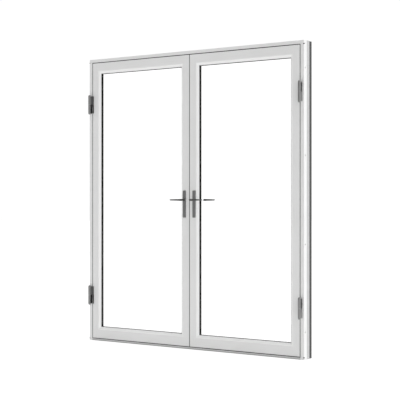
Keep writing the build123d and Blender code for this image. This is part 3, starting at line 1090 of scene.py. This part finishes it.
@dataclass
class Studio:
    """Camera, floor and the soft white room."""

    lens: float = 123.39
    sensor_width: float = 36
    view_reach: float = 200
    camera_place: tuple[float, float, float] = (6.314, -7.2105, 1.0394)
    camera_turn: float = 40.94
    floor_radius: float = 60.0
    floor_sides: int = 96
    floor_colour: str = "#F8F8F8"
    glow_radius: float = 2.4
    glow_level: float = 0.16
    glow_squash: tuple[float, float, float] = (0.4, 1, 0)
    shadow_share: float = 0.25
    backdrop_level: float = 1.12
    sky_level: float = 1.02
    room_level: float = 1.31
    dark_level: float = 0.345
    dark_way: tuple[float, float, float] = (-0.35, -0.92, 0.18)
    dark_edge: tuple[float, float] = (0.15, 0.85)

    def build(self) -> None:
        """Set the camera, the floor, the world and the view transform."""
        self.set_camera()
        self.lay_floor()
        self.light_room()
        bpy.context.scene.view_settings.view_transform = "Standard"

    def set_camera(self) -> None:
        """Place the camera where the photograph was taken from."""
        data = bpy.data.cameras.new("camera")
        data.lens = self.lens
        data.sensor_width = self.sensor_width
        data.clip_end = self.view_reach
        camera = bpy.data.objects.new("camera", data)
        camera.location = self.camera_place
        camera.rotation_euler = (QUARTER_TURN, 0, math.radians(self.camera_turn))
        bpy.context.scene.collection.objects.link(camera)
        bpy.context.scene.camera = camera

    def lay_floor(self) -> None:
        """Lay a round floor that looks white and keeps the door's shadow.

        Light that falls on the door from below is its bounce, with a weak glow near the door.
        """
        Bench.clear()
        bpy.ops.mesh.primitive_circle_add(
            vertices=self.floor_sides, radius=self.floor_radius, fill_type="NGON"
        )
        floor = bpy.context.object
        floor.name = "floor"
        made = bpy.data.materials.new("matt_white_floor")
        made.use_nodes = True
        tree = made.node_tree
        tree.nodes.clear()
        path = add_node(tree, "ShaderNodeLightPath").outputs
        seen = path["Is Camera Ray"]
        for ray in ("Is Glossy Ray", "Is Transmission Ray"):
            rays = {0: seen, 1: path[ray]}
            seen = add_node(tree, "ShaderNodeMath", rays, operation="MAXIMUM").outputs[0]
        looks = {0: seen, 1: self.floor_bounce(tree), 2: self.floor_look(tree)}
        mixed = add_node(tree, "ShaderNodeMixShader", looks)
        add_node(tree, "ShaderNodeOutputMaterial", {"Surface": mixed.outputs[0]})
        floor.data.materials.append(made)

    def floor_bounce(self, tree: bpy.types.NodeTree) -> bpy.types.NodeSocket:
        """What the floor gives to the door: pale paint, and a glow that fades away from the door.

        Args:
            tree: The floor's node tree.

        Returns:
            The shader's socket.
        """
        place = add_node(tree, "ShaderNodeTexCoord").outputs["Object"]
        squash = {0: place, 1: self.glow_squash}
        spread = add_node(tree, "ShaderNodeVectorMath", squash, operation="MULTIPLY").outputs[0]
        away = add_node(tree, "ShaderNodeVectorMath", {0: spread}, operation="LENGTH")
        near = {
            "Value": away.outputs["Value"],
            "From Min": self.glow_radius,
            "From Max": 0.0,
            "To Max": self.glow_level,
        }
        level = add_node(tree, "ShaderNodeMapRange", near).outputs[0]
        paint = add_node(tree, "ShaderNodeBsdfDiffuse", {"Color": linear(self.floor_colour)})
        glow = add_node(tree, "ShaderNodeEmission", {"Strength": level})
        both = {0: paint.outputs[0], 1: glow.outputs[0]}
        return add_node(tree, "ShaderNodeAddShader", both).outputs[0]

    def floor_look(self, tree: bpy.types.NodeTree) -> bpy.types.NodeSocket:
        """How the floor is seen: white, with a share that takes the door's shadow.

        Args:
            tree: The floor's node tree.

        Returns:
            The shader's socket.
        """
        grey = self.shadow_share
        shade = add_node(tree, "ShaderNodeBsdfDiffuse", {"Color": (grey, grey, grey, 1)})
        white = add_node(tree, "ShaderNodeEmission", {"Strength": self.backdrop_level - grey})
        both = {0: shade.outputs[0], 1: white.outputs[0]}
        return add_node(tree, "ShaderNodeAddShader", both).outputs[0]

    def light_room(self) -> None:
        """Light the door by a white room that is darker in front of it, shown as plain white."""
        world = bpy.data.worlds.new("white_room")
        bpy.context.scene.world = world
        world.use_nodes = True
        tree = world.node_tree
        tree.nodes.clear()
        ways = {
            0: add_node(tree, "ShaderNodeTexCoord").outputs["Generated"],
            1: Vector(self.dark_way).normalized(),
        }
        lean = add_node(tree, "ShaderNodeVectorMath", ways, operation="DOT_PRODUCT")
        room = {
            "Value": lean.outputs["Value"],
            "From Min": self.dark_edge[0],
            "From Max": self.dark_edge[1],
            "To Min": self.room_level,
            "To Max": self.dark_level,
        }
        lit = add_node(tree, "ShaderNodeMapRange", room, interpolation_type="SMOOTHSTEP")
        level = lit.outputs[0]
        path = add_node(tree, "ShaderNodeLightPath").outputs
        for ray, shown in (
            ("Is Transmission Ray", self.backdrop_level),
            ("Is Camera Ray", self.sky_level),
        ):
            levels = {MixInput.SHARE: path[ray], MixInput.VALUE_A: level, MixInput.VALUE_B: shown}
            level = add_node(tree, "ShaderNodeMix", levels).outputs[0]
        light = {"Color": linear("#FFFFFF"), "Strength": level}
        shone = add_node(tree, "ShaderNodeBackground", light)
        add_node(tree, "ShaderNodeOutputWorld", {"Surface": shone.outputs[0]})


def main() -> None:
    """Dress the CAD nodes, build the small pieces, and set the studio."""
    logging.basicConfig(level=logging.INFO, format="%(name)s %(message)s")
    leaves = [GlazedLeaf(side) for side in Side]
    handles = [HandleSet(side) for side in Side]
    for assembly in (OuterFrame(), *leaves, *handles):
        assembly.dress()
        assembly.build()
    Studio().build()


if __name__ == "__main__":
    main()
